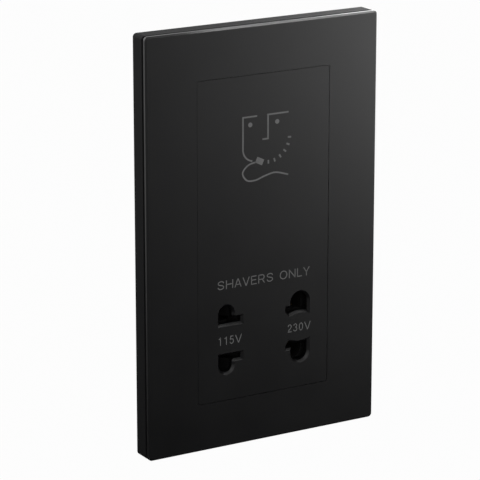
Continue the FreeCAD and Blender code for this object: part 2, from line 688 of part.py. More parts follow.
def clip_leg(x, half, far):
    """One sprung leg, bent towards the pin and flared at its mouth."""
    root = CLIP_OUTER if far else CLIP_INNER
    inward = -1 if far else 1
    grip = CLIP_MIDDLE - inward * CLIP_GRIP / 2
    mouth = grip - inward * CLIP_MOUTH_FLARE
    line = [
        (CLIP_FOOT_Y, root),
        (CARRIER_BACK_Y - CLIP_SHEET, root),
        (CARRIER_BACK_Y - CLIP_GRIP_DEPTH, grip - inward * CLIP_SHEET),
        (CARRIER_BACK_Y - CLIP_MOUTH_DEPTH, mouth - inward * CLIP_SHEET),
    ]
    back = [(y, v + inward * CLIP_SHEET) for y, v in reversed(line)]
    outline = [(y, OUTLET_Z + half * v) for y, v in line + back]
    return side_prism(outline[0], outline[1:], x - CLIP_WIDTH / 2, x + CLIP_WIDTH / 2)


def clip_tab(x, z, room):
    wide = CLIP_TAB_WIDTH / 2 + room
    thick = CLIP_SHEET / 2 + room
    return block(x - wide, x + wide, CARRIER_BACK_Y, CLIP_TAB_Y, z - thick, z + thick)


def contact_clip(x, half):
    """A foot on the carrier's back, flush with its side, with two legs folded forwards into the chamber."""
    side = CARRIER_WIDTH / 2
    x0, x1 = (-side, CLIP_FOOT_WIDTH - side) if x < 0 else (side - CLIP_FOOT_WIDTH, side)
    z0, z1 = sorted((OUTLET_Z + half * CLIP_INNER, OUTLET_Z + half * CLIP_OUTER))
    foot = block(x0, x1, CARRIER_BACK_Y, CLIP_FOOT_Y, z0, z1)
    return foot.fuse([clip_leg(x, half, far) for far in (False, True)])


def contact_single(x):
    tab = clip_tab(x, OUTLET_Z + CLIP_MIDDLE, 0.0)
    return contact_clip(x, 1).fuse(tab).removeSplitter()


def contact_common():
    """The two lower clips, joined by a strip."""
    z = OUTLET_Z - CLIP_MIDDLE
    tall = CLIP_TAB_WIDTH / 2
    strip = block(LEFT_AXIS_X, RIGHT_AXIS_X, CARRIER_BACK_Y, CLIP_FOOT_Y, z - tall, z + tall)
    clips = [contact_clip(x, -1) for x in (LEFT_AXIS_X, RIGHT_AXIS_X)]
    return strip.fuse(clips + [clip_tab(0.0, z, 0.0)]).removeSplitter()


def contact_tab_places():
    upper = OUTLET_Z + CLIP_MIDDLE
    return [(LEFT_AXIS_X, upper), (RIGHT_AXIS_X, upper), (0.0, OUTLET_Z - CLIP_MIDDLE)]


def contact_retainer():
    """Plate that holds the clips in, with four posts to the housing's back."""
    plate = carrier_slab(0.0, CLIP_FOOT_Y, RETAINER_BACK_Y)
    posts = [rod(RETAINER_POST_RADIUS, x, z, RETAINER_BACK_Y, BACK_INNER_Y)
             for x in (-RETAINER_POST_X, RETAINER_POST_X)
             for z in (RETAINER_POST_LOW_Z, RETAINER_POST_HIGH_Z)]
    tabs = [clip_tab(x, z, SLOT_GAP) for x, z in contact_tab_places()]
    tails = [strip_tab(-TAB_X, SUPPLY_STRIP_Z, SLOT_GAP), strip_tab(TAB_X, LOAD_STRIP_Z, SLOT_GAP)]
    return plate.cut(tabs + tails).fuse(posts).removeSplitter()


# Rear housing and terminals

def coil_slab(room, y0, y1):
    """The coil's outline seen from the front, with room around it."""
    width = 2 * (BOBBIN_FLANGE_HALF_WIDTH + room)
    height = 2 * (BOBBIN_HALF_HEIGHT + room)
    return slab(width, height, BOBBIN_CORNER, y0, y1, CORE_Z)


def housing_slab(room, y0, y1):
    """The housing's outline seen from the front, with room around it."""
    width = HOUSING_WIDTH + 2 * room
    height = HOUSING_TOP_Z - HOUSING_BOTTOM_Z + 2 * room
    return slab(width, height, HOUSING_CORNER + room, y0, y1, (HOUSING_TOP_Z + HOUSING_BOTTOM_Z) / 2)


def housing_shape(inset):
    """The housing's outside, or with an inset its inside: a shallow box with a hump over the coil."""
    box = housing_slab(-inset, REBATE_Y, HOUSING_DEPTH - inset)
    hump_back = COIL_BACK_Y + HUMP_ROOM + HOUSING_WALL - inset
    hump = coil_slab(HUMP_ROOM + HOUSING_WALL - inset, REBATE_Y, hump_back)
    if not inset:
        box = box.makeFillet(HOUSING_EDGE_ROUND, edges_on(box, HOUSING_DEPTH))
        hump = hump.makeFillet(HOUSING_EDGE_ROUND, edges_on(hump, hump_back))
    return box.fuse(hump)


def terminal_block():
    """The raised block on the back, with its corners and back edges rounded."""
    height = TERMINAL_BLOCK_TOP_Z - TERMINAL_BLOCK_BOTTOM_Z
    middle = (TERMINAL_BLOCK_TOP_Z + TERMINAL_BLOCK_BOTTOM_Z) / 2
    raised = slab(TERMINAL_BLOCK_WIDTH, height, TERMINAL_BLOCK_ROUND, BACK_INNER_Y, TERMINAL_BACK_Y, middle)
    return raised.makeFillet(TERMINAL_BLOCK_ROUND / 2, edges_on(raised, TERMINAL_BACK_Y))


def rear_housing():
    """Open-fronted box with a coil hump, four screw wells and three terminal chambers."""
    outside = housing_shape(0.0)
    wells = [rod(BOSS_RADIUS, x, z, REBATE_Y, BACK_INNER_Y).common(outside) for x, z in SCREW_PLACES]
    body = outside.cut(housing_shape(HOUSING_WALL)).fuse(wells + [terminal_block()])
    cuts = [rod(SCREW_RADIUS + SCREW_CLEARANCE, x, z, REBATE_Y, BACK_INNER_Y) for x, z in SCREW_PLACES]
    head_room = SCREW_HEAD_RADIUS + SCREW_CLEARANCE
    cuts += [rod(head_room, x, z, BACK_INNER_Y, HOUSING_DEPTH) for x, z in SCREW_PLACES]
    for x in TERMINAL_XS:
        half = PILLAR_WIDTH / 2 + PILLAR_GAP
        cuts.append(block(x - half, x + half, PILLAR_FRONT_Y, TERMINAL_BACK_Y,
                          PILLAR_BOTTOM_Z - PILLAR_GAP, PILLAR_TOP_Z + PILLAR_GAP))
        cuts.append(wire_bore(x, WIRE_FUNNEL_RADIUS, TERMINAL_BLOCK_BOTTOM_Z, PILLAR_BOTTOM_Z))
    cuts += [terminal_tag(x, SLOT_GAP) for x in (TERMINAL_XS[0], TERMINAL_XS[-1])]
    return body.cut(cuts).removeSplitter()


def wire_bore(x, radius, z0, z1):
    """A hole for a supply wire, from below."""
    y = PILLAR_FRONT_Y + PILLAR_DEPTH / 2
    return Part.makeCylinder(radius, z1 - z0, Vector(x, y, z0), Vector(0, 0, 1))


def terminal_tag(x, room):
    wide = TAG_WIDTH / 2 + room
    thick = TAG_THICKNESS / 2 + room
    return block(x - wide, x + wide, TAG_END_Y, PILLAR_FRONT_Y, PILLAR_Z - thick, PILLAR_Z + thick)


def terminal_pillar(x):
    """A brass pillar with a wire bore from below and a screw bore from behind."""
    half = PILLAR_WIDTH / 2
    pillar = block(x - half, x + half, PILLAR_FRONT_Y, PILLAR_BACK_Y, PILLAR_BOTTOM_Z, PILLAR_TOP_Z)
    bore = wire_bore(x, WIRE_BORE_RADIUS, PILLAR_BOTTOM_Z, PILLAR_BOTTOM_Z + WIRE_BORE_DEPTH)
    middle_y = PILLAR_FRONT_Y + PILLAR_DEPTH / 2
    thread = rod(TERMINAL_SCREW_RADIUS + THREAD_GAP, x, PILLAR_Z, middle_y, PILLAR_BACK_Y)
    return pillar.cut([bore, thread])


def supply_terminals():
    ends = (TERMINAL_XS[0], TERMINAL_XS[-1])
    return Part.makeCompound([terminal_pillar(x).fuse(terminal_tag(x, 0.0)).removeSplitter() for x in ends])


def terminal_screw(x):
    """A slotted screw whose tip stands over the wire bore."""
    tip = PILLAR_FRONT_Y + PILLAR_DEPTH / 2 + WIRE_BORE_RADIUS
    head_back = PILLAR_BACK_Y + TERMINAL_HEAD_HEIGHT
    shank = rod(TERMINAL_SCREW_RADIUS, x, PILLAR_Z, tip, PILLAR_BACK_Y)
    head = rod(TERMINAL_HEAD_RADIUS, x, PILLAR_Z, PILLAR_BACK_Y, head_back)
    head = head.makeFillet(TERMINAL_SLOT / 2, edges_on(head, head_back, lambda box: box.XLength > 1))
    wide = TERMINAL_SLOT / 2
    far = TERMINAL_HEAD_RADIUS
    slot = block(x - far, x + far, head_back - TERMINAL_SLOT, head_back, PILLAR_Z - wide, PILLAR_Z + wide)
    return shank.fuse(head).cut(slot).removeSplitter()


def housing_screw(x, z):
    """A long self-tapping screw with a cross recess, from the housing's back into the insert."""
    head_back = BACK_INNER_Y + SCREW_HEAD_HEIGHT
    shank = rod(SCREW_RADIUS, x, z, SCREW_TIP_Y, BACK_INNER_Y)
    shank = shank.makeChamfer(SCREW_RADIUS / 2, edges_on(shank, SCREW_TIP_Y, lambda box: box.XLength > 1))
    head = rod(SCREW_HEAD_RADIUS, x, z, BACK_INNER_Y, head_back)
    head = head.makeFillet(SCREW_HEAD_HEIGHT / 2, edges_on(head, head_back, lambda box: box.XLength > 1))
    long = SCREW_HEAD_RADIUS / 2
    thin = SCREW_DRIVE / 4
    bars = [block(x - a, x + a, head_back - SCREW_DRIVE, head_back, z - b, z + b)
            for a, b in ((long, thin), (thin, long))]
    return shank.fuse(head).cut(bars).removeSplitter()


# Transformer

def core_laminations():
    """A stack of E and I sheets with two windows beside the middle limb."""
    left = CORE_WIDTH / 2
    stack = block(-left, left, CORE_FRONT_Y, CORE_BACK_Y, CORE_BOTTOM_Z, CORE_TOP_Z)
    uprights = [e for e in stack.Edges if e.BoundBox.YLength > CORE_STACK / 2]
    stack = stack.makeChamfer(CORE_EDGE, uprights)
    tall = CORE_HEIGHT / 2 - CORE_LIMB
    windows = [block(x, x + CORE_LIMB, CORE_FRONT_Y, CORE_BACK_Y, CORE_Z - tall, CORE_Z + tall)
               for x in (-2 * CORE_LIMB, CORE_LIMB)]
    return stack.cut(windows)


def core_band():
    """Bent steel band over the top and both sides of the stack."""
    inner = CORE_WIDTH / 2
    outer = inner + BAND_THICKNESS
    bottom = CORE_BOTTOM_Z
    top = CORE_TOP_Z
    bend = BAND_THICKNESS
    near = bend * (1 - math.sqrt(0.5))
    high = top + BAND_THICKNESS
    outline = [
        (-inner, bottom),
        (-inner, top),
        (inner, top),
        (inner, bottom),
        (outer, bottom),
        (outer, high - bend),
        ((outer - near, high - near), (outer - bend, high)),
        (-outer + bend, high),
        ((-outer + near, high - near), (-outer, high - bend)),
    ]
    return front_prism((-outer, bottom), outline, CORE_FRONT_Y, CORE_BACK_Y)


def coil_ring(half_x, half_y, corner, hole_x, hole_y, z0, z1):
    """A rectangular ring round the middle limb, its outer corners rounded."""
    body = block(-half_x, half_x, CORE_Y - half_y, CORE_Y + half_y, z0, z1)
    uprights = [e for e in body.Edges if e.BoundBox.ZLength > (z1 - z0) / 2]
    body = body.makeFillet(corner, uprights)
    return body.cut(block(-hole_x, hole_x, CORE_Y - hole_y, CORE_Y + hole_y, z0, z1))


def bobbin_hole():
    return CORE_LIMB + BOBBIN_GAP, CORE_STACK / 2 + BOBBIN_GAP


def bobbin():
    """Split bobbin: a square tube with three flanges, and holes for the pins in the outer two."""
    hole_x, hole_y = bobbin_hole()
    bottom = CORE_Z - BOBBIN_HALF_HEIGHT
    top = CORE_Z + BOBBIN_HALF_HEIGHT
    tube_x = hole_x + BOBBIN_WALL
    tube_y = hole_y + BOBBIN_WALL
    tube = coil_ring(tube_x, tube_y, BOBBIN_WALL, hole_x, hole_y, bottom, top)
    lows = [bottom, CORE_Z - BOBBIN_WALL / 2, top - BOBBIN_WALL]
    flanges = [coil_ring(BOBBIN_FLANGE_HALF_WIDTH, BOBBIN_FLANGE_HALF_DEPTH, BOBBIN_CORNER, hole_x, hole_y,
                         low, low + BOBBIN_WALL) for low in lows]
    return tube.fuse(flanges).cut(bobbin_pin_list()).removeSplitter()


def bobbin_pin_list():
    """Three secondary pins under the lowest flange and two primary pins over the highest."""
    length = PIN_LENGTH + BOBBIN_WALL
    low = [(x, LOW_PIN_Z) for x in (LEFT_AXIS_X, 0.0, RIGHT_AXIS_X)]
    high = [(x, HIGH_PIN_Z - length) for x in (-PRIMARY_PIN_X, PRIMARY_PIN_X)]
    return [Part.makeCylinder(PIN_RADIUS, length, Vector(x, PIN_Y, z)) for x, z in low + high]


def winding(upper):
    """A wound section between two flanges of the bobbin."""
    hole_x, hole_y = bobbin_hole()
    near = BOBBIN_WALL / 2
    far = BOBBIN_HALF_HEIGHT - BOBBIN_WALL
    z0, z1 = (CORE_Z + near, CORE_Z + far) if upper else (CORE_Z - far, CORE_Z - near)
    return coil_ring(
        BOBBIN_FLANGE_HALF_WIDTH - WINDING_INSET,
        BOBBIN_FLANGE_HALF_DEPTH - WINDING_INSET,
        WINDING_CORNER,
        hole_x + BOBBIN_WALL,
        hole_y + BOBBIN_WALL,
        z0,
        z1,
    )


def thermal_cutout():
    """A small sealed can against the underside of the core."""
    x = CUTOUT_LENGTH / 2
    y = CUTOUT_WIDTH / 2
    can = block(CUTOUT_X - x, CUTOUT_X + x, CUTOUT_Y - y, CUTOUT_Y + y, CORE_BOTTOM_Z - CUTOUT_HEIGHT,
                CORE_BOTTOM_Z)
    along = [e for e in can.Edges if e.BoundBox.XLength > x]
    return can.makeFillet(CUTOUT_ROUND, along)


# Leads, by the places they run through

def secondary_lead(x, tab_z):
    """From a pin in front of the core, under the core and down to a contact's tab."""
    return [
        (x, PIN_Y, LOW_PIN_Z),
        (x, PIN_Y, LEAD_UNDER_CORE_Z),
        (x, LEAD_DROP_Y, LEAD_UNDER_CORE_Z),
        (x, LEAD_DROP_Y, tab_z),
        (x, CLIP_TAB_Y, tab_z),
    ]


def over_the_core(side):
    """Up beside the core, in over its top and down to a primary pin."""
    return [
        (side * LEAD_SIDE_X, PIN_Y, LEAD_TOP_Z),
        (side * PRIMARY_PIN_X, PIN_Y, LEAD_TOP_Z),
        (side * PRIMARY_PIN_X, PIN_Y, HIGH_PIN_Z),
    ]


def lead_routes():
    """Each lead's name and the points it runs through."""
    upper_tab = OUTLET_Z + CLIP_MIDDLE
    left = TERMINAL_XS[0]
    right = TERMINAL_XS[-1]
    cutout_left = CUTOUT_X - CUTOUT_LENGTH / 2
    cutout_right = CUTOUT_X + CUTOUT_LENGTH / 2
    return {
        "lead_115v": secondary_lead(LEFT_AXIS_X, upper_tab),
        "lead_230v": secondary_lead(RIGHT_AXIS_X, upper_tab),
        "lead_common": secondary_lead(0.0, OUTLET_Z - CLIP_MIDDLE),
        "lead_live": [
            (left, TAG_END_Y, PILLAR_Z),
            (left, LEAD_NEAR_Y, PILLAR_Z),
            (left, LEAD_NEAR_Y, SUPPLY_STRIP_Z),
            (left, STRIP_TAB_Y, SUPPLY_STRIP_Z),
        ],
        "lead_switched": [
            (TAB_X, STRIP_TAB_Y, LOAD_STRIP_Z),
            (TAB_X, CUTOUT_Y, LOAD_STRIP_Z),
            (LEAD_SWITCHED_X, CUTOUT_Y, LOAD_STRIP_Z),
            (LEAD_SWITCHED_X, CUTOUT_Y, CUTOUT_Z),
            (cutout_right, CUTOUT_Y, CUTOUT_Z),
        ],
        "lead_cutout": [
            (cutout_left, CUTOUT_Y, CUTOUT_Z),
            (-LEAD_SIDE_X, CUTOUT_Y, CUTOUT_Z),
            (-LEAD_SIDE_X, PIN_Y, CUTOUT_Z),
        ] + over_the_core(-1),
        "lead_neutral": [
            (right, TAG_END_Y, PILLAR_Z),
            (right, LEAD_NEAR_Y, PILLAR_Z),
            (right, LEAD_NEAR_Y, LEAD_NEUTRAL_Z),
            (LEAD_SIDE_X, LEAD_NEAR_Y, LEAD_NEUTRAL_Z),
            (LEAD_SIDE_X, PIN_Y, LEAD_NEUTRAL_Z),
        ] + over_the_core(1),
    }


def all_pieces():
    pieces = {
        "cover_plate": cover_plate(),
        "base_frame": base_frame(),
        "socket_insert": socket_insert(),
        "shutter_plate": shutter_plate(),
        "shutter_spring_left": shutter_spring(-1),
        "shutter_spring_right": shutter_spring(1),
        "switch_bridge": switch_bridge(),
        "switch_strip_supply": supply_strip(0.0),
        "switch_strip_load": load_strip(0.0),
        "contact_carrier": contact_carrier(),
        "contact_115v": contact_single(LEFT_AXIS_X),
        "contact_230v": contact_single(RIGHT_AXIS_X),
        "contact_common": contact_common(),
        "contact_retainer": contact_retainer(),
        "rear_housing": rear_housing(),
        "housing_screws": Part.makeCompound([housing_screw(x, z) for x, z in SCREW_PLACES]),
        "supply_terminals": supply_terminals(),
        "parking_terminal": terminal_pillar(TERMINAL_XS[1]),
        "terminal_screws": Part.makeCompound([terminal_screw(x) for x in TERMINAL_XS]),
        "core_laminations": core_laminations(),
        "core_band": core_band(),
        "bobbin": bobbin(),
        "bobbin_pins": Part.makeCompound(bobbin_pin_list()),
        "primary_winding": winding(True),
        "secondary_winding": winding(False),
        "thermal_cutout": thermal_cutout(),
    }
    for name, points in lead_routes().items():
        pieces[name] = lead_along(points, LEAD_RADIUS, LEAD_BEND)
    return pieces


os.makedirs("parts", exist_ok=True)
for node, shape in all_pieces().items():
    shape.exportStep("parts/" + node + ".step")
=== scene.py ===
import json

import bpy
import numpy as np
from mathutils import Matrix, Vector


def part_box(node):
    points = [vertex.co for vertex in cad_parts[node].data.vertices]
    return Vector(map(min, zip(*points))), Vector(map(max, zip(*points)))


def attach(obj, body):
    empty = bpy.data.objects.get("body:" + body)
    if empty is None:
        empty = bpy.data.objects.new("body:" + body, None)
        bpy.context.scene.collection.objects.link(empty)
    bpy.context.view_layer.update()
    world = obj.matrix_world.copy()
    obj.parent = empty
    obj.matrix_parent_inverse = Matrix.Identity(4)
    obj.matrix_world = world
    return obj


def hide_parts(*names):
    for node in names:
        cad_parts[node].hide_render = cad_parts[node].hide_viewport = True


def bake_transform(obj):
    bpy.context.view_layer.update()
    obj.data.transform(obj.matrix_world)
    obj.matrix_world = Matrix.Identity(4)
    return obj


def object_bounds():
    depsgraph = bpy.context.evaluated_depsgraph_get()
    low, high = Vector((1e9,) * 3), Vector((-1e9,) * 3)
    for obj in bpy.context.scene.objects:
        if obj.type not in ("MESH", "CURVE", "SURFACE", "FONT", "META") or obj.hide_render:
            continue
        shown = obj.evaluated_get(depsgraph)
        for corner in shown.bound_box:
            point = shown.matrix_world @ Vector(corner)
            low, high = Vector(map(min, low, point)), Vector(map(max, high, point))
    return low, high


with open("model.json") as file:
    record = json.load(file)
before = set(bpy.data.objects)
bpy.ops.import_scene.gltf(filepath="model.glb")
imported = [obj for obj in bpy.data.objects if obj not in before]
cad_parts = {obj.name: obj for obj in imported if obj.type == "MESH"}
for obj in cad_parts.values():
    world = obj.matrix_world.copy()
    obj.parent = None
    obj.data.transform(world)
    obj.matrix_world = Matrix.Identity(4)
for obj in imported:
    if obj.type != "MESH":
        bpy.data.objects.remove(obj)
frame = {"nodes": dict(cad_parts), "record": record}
cad_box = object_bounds()

MM = 0.001

# Camera, found from the plate's corners in the picture: place and aim in metres, lens and sensor in
# millimetres, and reach in metres
CAMERA_PLACE = Vector((-456.1, -761.4, 248.5)) * MM
CAMERA_AIM = Vector((-4.34, 0.0, -2.95)) * MM
CAMERA_LENS = 202.5
CAMERA_SENSOR = 36.0
CAMERA_REACH = 50.0

# Ground under the part: drop and reach in metres, and the share of its brightness that needs no lamp
FLOOR_DROP = 1.0
FLOOR_REACH = 6.0
PAPER_GLOW = 0.97

# Black cards seen only in reflections, in metres: one stands where the face mirrors it, one lies below
CARD_AIM = Vector((0.49, -0.83, -0.27))
CARD_DISTANCE = 0.85
CARD_SIDE = 3.0
TABLE_DROP = 0.2
TABLE = ((-1.0, -1.2), (1.0, 0.8))

# Lamps: place, aim, width and height in millimetres, power in watts, and whether the lamp lights
# colours or only adds a highlight. The world's light is the strength of an even light on the part.
LAMPS = {
    "front_fill": ((-300, -900, 300), (0, 0, 0), (700, 700), 5.0, True),
    "rear_fill": ((-300, 900, 300), (0, 20, 0), (700, 700), 3.5, True),
    "top_panel": ((60, 250, 700), (0, 0, 60), (400, 400), 3.0, True),
    "face_glow": ((555, -560, -66), (10, 0, 10), (110, 110), 1.92, False),
    "edge_strip": ((60, -17, 100), (60, -8, 73), (140, 10), 0.07, False),
    "back_glow": ((240, 190, 130), (20, -4, 73), (150, 150), 0.45, False),
}
WORLD_LIGHT = 0.35

# Centring springs of the shutter: the wire's radius in millimetres, the turns, how much they close up at
# the ends, and the points along each turn and round the wire
SPRING_WIRE = 0.175
SPRING_TURNS = 5
SPRING_EASE = 0.6
SPRING_STEPS = 24
WIRE_SIDES = 12

# Printed marks on the flush centre panel: thickness and the sign's stroke in millimetres, the letters'
# stroke and gaps as shares of their height, then words, left end, foot and height in millimetres
PRINT_THICKNESS = 0.03
SIGN_STROKE = 0.55
LETTER_STROKE = 0.1
LETTER_GAP = 0.22
WORD_GAP = 0.86
LEGENDS = {
    "legend_use": ("SHAVERS ONLY", -18.2, -16.6, 3.05),
    "legend_115v": ("115V", -18.1, -36.35, 2.9),
    "legend_230v": ("230V", 9.7, -36.1, 2.85),
}

# Noise in the finishes: where on it the two tones stand, and the octaves of patches and of grain
TONE_STOPS = (0.35, 0.65)
PATCH_OCTAVES = 3.0
GRAIN_OCTAVES = 2.0


# Shader helpers

def linear(code):
    """An sRGB hex colour such as "1a1b1c" as a linear RGBA tuple."""
    srgb = np.array([int(code[i:i + 2], 16) for i in (0, 2, 4)]) / 255
    low = srgb / 12.92
    high = ((srgb + 0.055) / 1.055) ** 2.4
    return (*np.where(srgb <= 0.04045, low, high), 1.0)


def add(tree, kind, *values, settings=None, **inputs):
    """A new node: settings are its properties, the rest its sockets, in order or by name with spaces as _.

    A socket is linked to another node's socket, or given a value.
    """
    node = tree.nodes.new("ShaderNode" + kind)
    for name, value in (settings or {}).items():
        setattr(node, name, value)
    sockets = list(zip(node.inputs, values))
    sockets += [(node.inputs[name.replace("_", " ")], value) for name, value in inputs.items()]
    for socket, value in sockets:
        if isinstance(value, bpy.types.NodeSocket):
            tree.links.new(value, socket)
        else:
            socket.default_value = value
    return node


def finish(name, tones, patch_mm, rough, grain_mm, relief_mm, stretch=(1, 1, 1), **shader):
    """Two near tones in soft patches, roughness that follows them, and a raised grain over all.

    Patches and grain are noise with one cell per patch_mm and grain_mm, drawn out along X, Y and Z
    by stretch. The grain stands relief_mm high.
    """
    material = bpy.data.materials.new(name)
    material.use_nodes = True
    tree = material.node_tree
    tree.nodes.clear()
    place = add(tree, "TexCoord").outputs["Object"]
    drawn = add(tree, "Mapping", Vector=place, Scale=[1 / s for s in stretch]).outputs["Vector"]
    cloud = add(tree, "TexNoise", Vector=drawn, Scale=1 / (patch_mm * MM), Detail=PATCH_OCTAVES)
    patches = cloud.outputs["Fac"]
    grain = add(tree, "TexNoise", Vector=drawn, Scale=1 / (grain_mm * MM), Detail=GRAIN_OCTAVES)
    tone = add(tree, "ValToRGB", Fac=patches)
    for stop, code, position in zip(tone.color_ramp.elements, tones, TONE_STOPS):
        stop.color = linear(code)
        stop.position = position
    shine = add(tree, "MapRange", Value=patches, To_Min=rough[0], To_Max=rough[1])
    bump = add(tree, "Bump", Height=grain.outputs["Fac"], Distance=relief_mm * MM, Strength=1.0)
    surface = add(tree, "BsdfPrincipled", Base_Color=tone.outputs["Color"],
                  Roughness=shine.outputs["Result"], Normal=bump.outputs["Normal"], **shader)
    add(tree, "OutputMaterial", Surface=surface.outputs["BSDF"])
    return material


def ridged(material, across, pitch_mm, relief_mm):
    """Adds even ridges across X, Y or Z: half-round waves pitch_mm apart and relief_mm high."""
    tree = material.node_tree
    surface = next(n for n in tree.nodes if n.type == "BSDF_PRINCIPLED")
    place = next(n for n in tree.nodes if n.type == "TEX_COORD").outputs["Object"]
    # a wave texture repeats every 2 pi / 20 at scale 1
    period = 2 * np.pi / 20
    bands = {"wave_type": "BANDS", "bands_direction": across}
    wave = add(tree, "TexWave", settings=bands, Vector=place, Scale=period / (pitch_mm * MM))
    ridge = add(tree, "Bump", Height=wave.outputs["Fac"], Distance=relief_mm * MM, Strength=1.0,
                Normal=surface.inputs["Normal"].links[0].from_socket)
    tree.links.new(ridge.outputs["Normal"], surface.inputs["Normal"])
    return material


# Finishes of the pieces, by the record's material slots

FINISHES = {
    # Moulded polycarbonate from a spark-eroded mould: deep black, a broad soft sheen. The real grain is
    # about 0.1 mm and is drawn at 0.5 mm so that it shows.
    "satin_black_panel": finish(
        "satin_moulded_polycarbonate", ("070708", "09090a"), patch_mm=14, rough=(0.34, 0.38),
        grain_mm=0.5, relief_mm=0.003, IOR=1.58, Specular_IOR_Level=0.2),
    # Moulded ABS with a coarser mould texture: a flat black without highlights.
    "black_base": finish(
        "textured_moulded_abs", ("0a0a0b", "0d0d0e"), patch_mm=9, rough=(0.58, 0.68),
        grain_mm=0.4, relief_mm=0.008, IOR=1.54, Specular_IOR_Level=0.05),
    # Acetal from a polished mould: slippery looking, waxy black.
    "black_shutter": finish(
        "moulded_black_acetal", ("050505", "070707"), patch_mm=6, rough=(0.34, 0.42),
        grain_mm=0.6, relief_mm=0.003, IOR=1.48, Specular_IOR_Level=0.05),
    # Moulded polycarbonate and ABS blend: light grey, faint flow marks, a fine matt texture.
    "grey_housing": finish(
        "matt_moulded_grey_plastic", ("a4a6a6", "aeb0b0"), patch_mm=16, rough=(0.46, 0.56),
        grain_mm=0.45, relief_mm=0.010, stretch=(1, 1, 1.6), IOR=1.5),
    # Glass-filled nylon: black, slightly greyed where fibres lie along the flow.
    "black_carrier": finish(
        "moulded_glass_filled_nylon", ("0a0a0a", "131313"), patch_mm=3, rough=(0.48, 0.60),
        grain_mm=0.35, relief_mm=0.006, stretch=(1, 1, 5), IOR=1.53, Specular_IOR_Level=0.1),
    # Rolled brass strip, stamped: yellow, with fine rolling lines and slight tarnish.
    "contact_brass": finish(
        "stamped_rolled_brass", ("b08d45", "c9a658"), patch_mm=4, rough=(0.24, 0.36),
        grain_mm=0.12, relief_mm=0.002, stretch=(1, 12, 1), Metallic=1.0),
    # Drawn brass bar, sawn and drilled: a paler yellow with lines along the bar.
    "terminal_brass": finish(
        "drawn_brass_bar", ("b8985a", "d0b472"), patch_mm=5, rough=(0.26, 0.38),
        grain_mm=0.15, relief_mm=0.003, stretch=(1, 1, 12), Metallic=1.0),
    # Hard-drawn spring wire: blue-grey with a faint drawn lustre.
    "spring_steel": finish(
        "hard_drawn_spring_wire", ("8a8d92", "a3a6ab"), patch_mm=2, rough=(0.26, 0.36),
        grain_mm=0.1, relief_mm=0.001, Metallic=1.0),
    # Zinc plate with a clear passivate: cool silver, cloudy from the bath.
    "zinc_screw": finish(
        "clear_zinc_plated_steel", ("a9adb3", "c3c8ce"), patch_mm=1.5, rough=(0.26, 0.40),
        grain_mm=0.25, relief_mm=0.002, Metallic=1.0),
    # Stacked silicon steel sheets dipped in varnish: dark, brownish, one line for each sheet.
    "core_steel": ridged(finish(
        "varnished_silicon_steel", ("3a3632", "4d4740"), patch_mm=5, rough=(0.34, 0.52),
        grain_mm=0.3, relief_mm=0.004, Metallic=0.7), across="Y", pitch_mm=0.5, relief_mm=0.06),
    # Zinc-plated steel strip: silver, with lines along the roll.
    "band_steel": finish(
        "zinc_plated_strip", ("9fa3a8", "b9bdc2"), patch_mm=6, rough=(0.28, 0.42),
        grain_mm=0.2, relief_mm=0.003, stretch=(1, 8, 1), Metallic=1.0),
    # Moulded nylon: milky white, slightly waxy.
    "bobbin_nylon": finish(
        "moulded_white_nylon", ("e2dfd6", "ebe8e0"), patch_mm=5, rough=(0.40, 0.50),
        grain_mm=0.4, relief_mm=0.004, IOR=1.53),
    # Hot-tinned pins: soft silver with solder ripples.
    "tinned_pin": finish(
        "hot_tinned_pin", ("b4b5b4", "cbccca"), patch_mm=0.8, rough=(0.22, 0.36),
        grain_mm=0.3, relief_mm=0.006, Metallic=1.0),
    # Enamelled copper wire, thin for the mains side: red-brown, one ridge for each turn.
    "primary_copper": ridged(finish(
        "fine_enamelled_copper", ("7c3a1c", "92481f"), patch_mm=2, rough=(0.22, 0.32),
        grain_mm=0.3, relief_mm=0.004, Metallic=0.85), across="Z", pitch_mm=0.3, relief_mm=0.10),
    # Thicker enamelled copper for the shaver side: the same red-brown with wider turns.
    "secondary_copper": ridged(finish(
        "enamelled_copper", ("86421f", "9c5226"), patch_mm=2, rough=(0.22, 0.32),
        grain_mm=0.4, relief_mm=0.004, Metallic=0.85), across="Z", pitch_mm=0.45, relief_mm=0.15),
    # Phenolic moulding: dull dark grey with a mealy filler.
    "cutout_resin": finish(
        "moulded_phenolic", ("2b2a29", "353432"), patch_mm=1.2, rough=(0.50, 0.62),
        grain_mm=0.3, relief_mm=0.006, IOR=1.55),
    # Extruded PVC sleeves: smooth, slightly rubbery.
    "brown_lead": finish(
        "brown_pvc_sleeve", ("4a2c1c", "573521"), patch_mm=6, rough=(0.38, 0.46),
        grain_mm=0.5, relief_mm=0.004, IOR=1.53),
    "blue_lead": finish(
        "blue_pvc_sleeve", ("1f4f9a", "265ba8"), patch_mm=6, rough=(0.38, 0.46),
        grain_mm=0.5, relief_mm=0.004, IOR=1.53),
    "white_lead": finish(
        "white_pvc_sleeve", ("dcdcd8", "e6e6e2"), patch_mm=6, rough=(0.38, 0.46),
        grain_mm=0.5, relief_mm=0.004, IOR=1.53),
}
# Pad-printed ink: a thin flat grey film with the slight unevenness of the pad.
INK = finish(
    "pad_printed_grey_ink", ("585858", "606060"), patch_mm=1.5, rough=(0.48, 0.58),
    grain_mm=0.3, relief_mm=0.002, IOR=1.45)


def dress(record):
    """Gives each CAD piece the finish of its slot in the record."""
    for entry in record["subparts"]:
        for slot in frame["nodes"][entry["node"]].material_slots:
            slot.material = FINISHES[entry["material_slot"]]


# Springs

